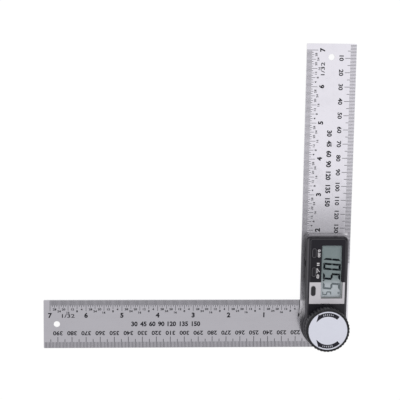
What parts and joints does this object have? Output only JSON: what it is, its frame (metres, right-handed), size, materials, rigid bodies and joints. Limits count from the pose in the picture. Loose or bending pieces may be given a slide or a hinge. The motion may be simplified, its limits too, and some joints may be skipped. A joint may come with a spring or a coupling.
{
  "type": "angle finder with arms",
  "caption": "Hinged steel rules with metric and inch scales, an electronic angle display on one arm and a knurled knob that locks the joint.",
  "frame": {"origin": "pivot axis at the back face of the pivot bolt's head", "axes": "+Z along the pivot toward the knob, +Y along the display arm, and the swing arm along -X at rest, which is the right angle of the picture"},
  "size_m": [0.2175, 0.2175, 0.0242],
  "materials": {
    "rule_steel": "brushed along its length, with black etched scales",
    "fastener_steel": "bright machined",
    "shell_plastic": "fine satin grain",
    "panel_print": "printed overlay, black with a silver grey foot",
    "window_clear": "clear and polished",
    "display_glass": "grey green liquid crystal with dark digits",
    "strip_rubber": "soft banded strip",
    "board_laminate": "green lacquer with gold pads",
    "brass": "turned",
    "washer_nylon": "natural nylon",
    "knob_plastic": "moulded with a ridged rim",
    "disc_aluminium": "satin silver with two printed arc arrows",
    "key_rubber": "soft matt",
    "cell_steel": "plated"
  },
  "bodies": {
    "display_arm": {"display_blade": "rule_steel", "base_shell": "shell_plastic", "top_shell": "shell_plastic", "face_panel": "panel_print", "display_window": "window_clear", "lcd_module": "display_glass", "elastomer_strip_left": "strip_rubber", "elastomer_strip_right": "strip_rubber", "circuit_board": "board_laminate", "contact_positive": "fastener_steel", "contact_negative": "fastener_steel", "bearing_bush": "brass", "pivot_bolt": "fastener_steel", "rear_washer": "washer_nylon", "thrust_washer": "fastener_steel", "shell_screw_1": "fastener_steel", "shell_screw_2": "fastener_steel", "shell_screw_3": "fastener_steel", "shell_screw_4": "fastener_steel", "dome_zero": "fastener_steel", "dome_hold": "fastener_steel", "dome_power": "fastener_steel"},
    "swing_arm": {"swing_blade": "rule_steel", "swing_hub": "fastener_steel", "encoder_rotor": "board_laminate", "friction_ring": "washer_nylon", "hub_screw_1": "fastener_steel", "hub_screw_2": "fastener_steel", "hub_screw_3": "fastener_steel"},
    "knob": {"lock_knob": "knob_plastic", "knob_insert": "brass", "knob_disc": "disc_aluminium"},
    "tray": {"battery_tray": "shell_plastic", "coin_cell": "cell_steel"},
    "zero_button": {"key_zero": "key_rubber"},
    "hold_button": {"key_hold": "key_rubber"},
    "power_button": {"key_power": "key_rubber"}
  },
  "joints": [
    {"name": "arm_swing", "type": "hinge", "parent": "display_arm", "child": "swing_arm", "pos_m": [0, 0, 0.0028], "axis": [0, 0, 1], "continuous": true},
    {"name": "knob_turn", "type": "hinge", "parent": "display_arm", "child": "knob", "pos_m": [0, 0, 0.0155], "axis": [0, 0, 1], "range_deg": [0, 270]},
    {"name": "tray_pull", "type": "slide", "parent": "display_arm", "child": "tray", "axis": [-1, 0, 0], "range_m": [0, 0.022]},
    {"name": "zero_press", "type": "slide", "parent": "display_arm", "child": "zero_button", "axis": [0, 0, -1], "range_m": [0, 0.0004], "stiffness_N_per_m": 2000},
    {"name": "hold_press", "type": "slide", "parent": "display_arm", "child": "hold_button", "axis": [0, 0, -1], "range_m": [0, 0.0004], "stiffness_N_per_m": 2000},
    {"name": "power_press", "type": "slide", "parent": "display_arm", "child": "power_button", "axis": [0, 0, -1], "range_m": [0, 0.0004], "stiffness_N_per_m": 2000}
  ]
}
